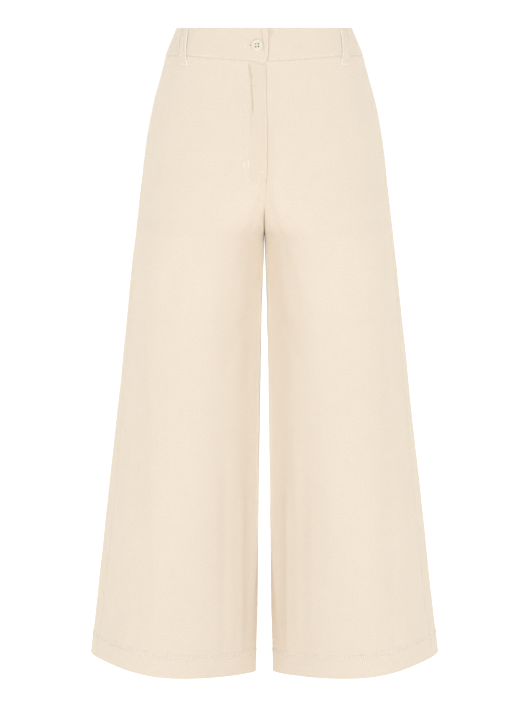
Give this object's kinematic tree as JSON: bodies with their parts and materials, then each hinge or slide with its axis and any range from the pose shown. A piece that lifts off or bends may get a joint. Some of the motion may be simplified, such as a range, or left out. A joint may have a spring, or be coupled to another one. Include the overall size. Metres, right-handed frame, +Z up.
{
  "type": "cropped jeans",
  "caption": "Cropped high-rise wide-leg jeans as a hollow worn shape, with a waistband, belt loops, lapped fly and a fastened four-hole button.",
  "frame": {"origin": "middle of the waist opening, level with the waistband's top edge, where the wearer's waist holds the jeans up", "axes": "+Z up out of the waist opening, -Y out of the front, +X to the wearer's left"},
  "size_m": [0.525, 0.2463, 0.966],
  "materials": {
    "cotton_twill": "matt cream cotton twill with tone-on-tone topstitching",
    "button_resin": "satin cream resin"
  },
  "bodies": {
    "root": {"front_left": "cotton_twill", "front_right": "cotton_twill", "back_left": "cotton_twill", "back_right": "cotton_twill", "waistband_left": "cotton_twill", "waistband_right": "cotton_twill", "belt_loop_front_left": "cotton_twill", "belt_loop_front_right": "cotton_twill", "belt_loop_back_left": "cotton_twill", "belt_loop_back_right": "cotton_twill", "belt_loop_centre": "cotton_twill", "button": "button_resin"}
  },
  "joints": []
}
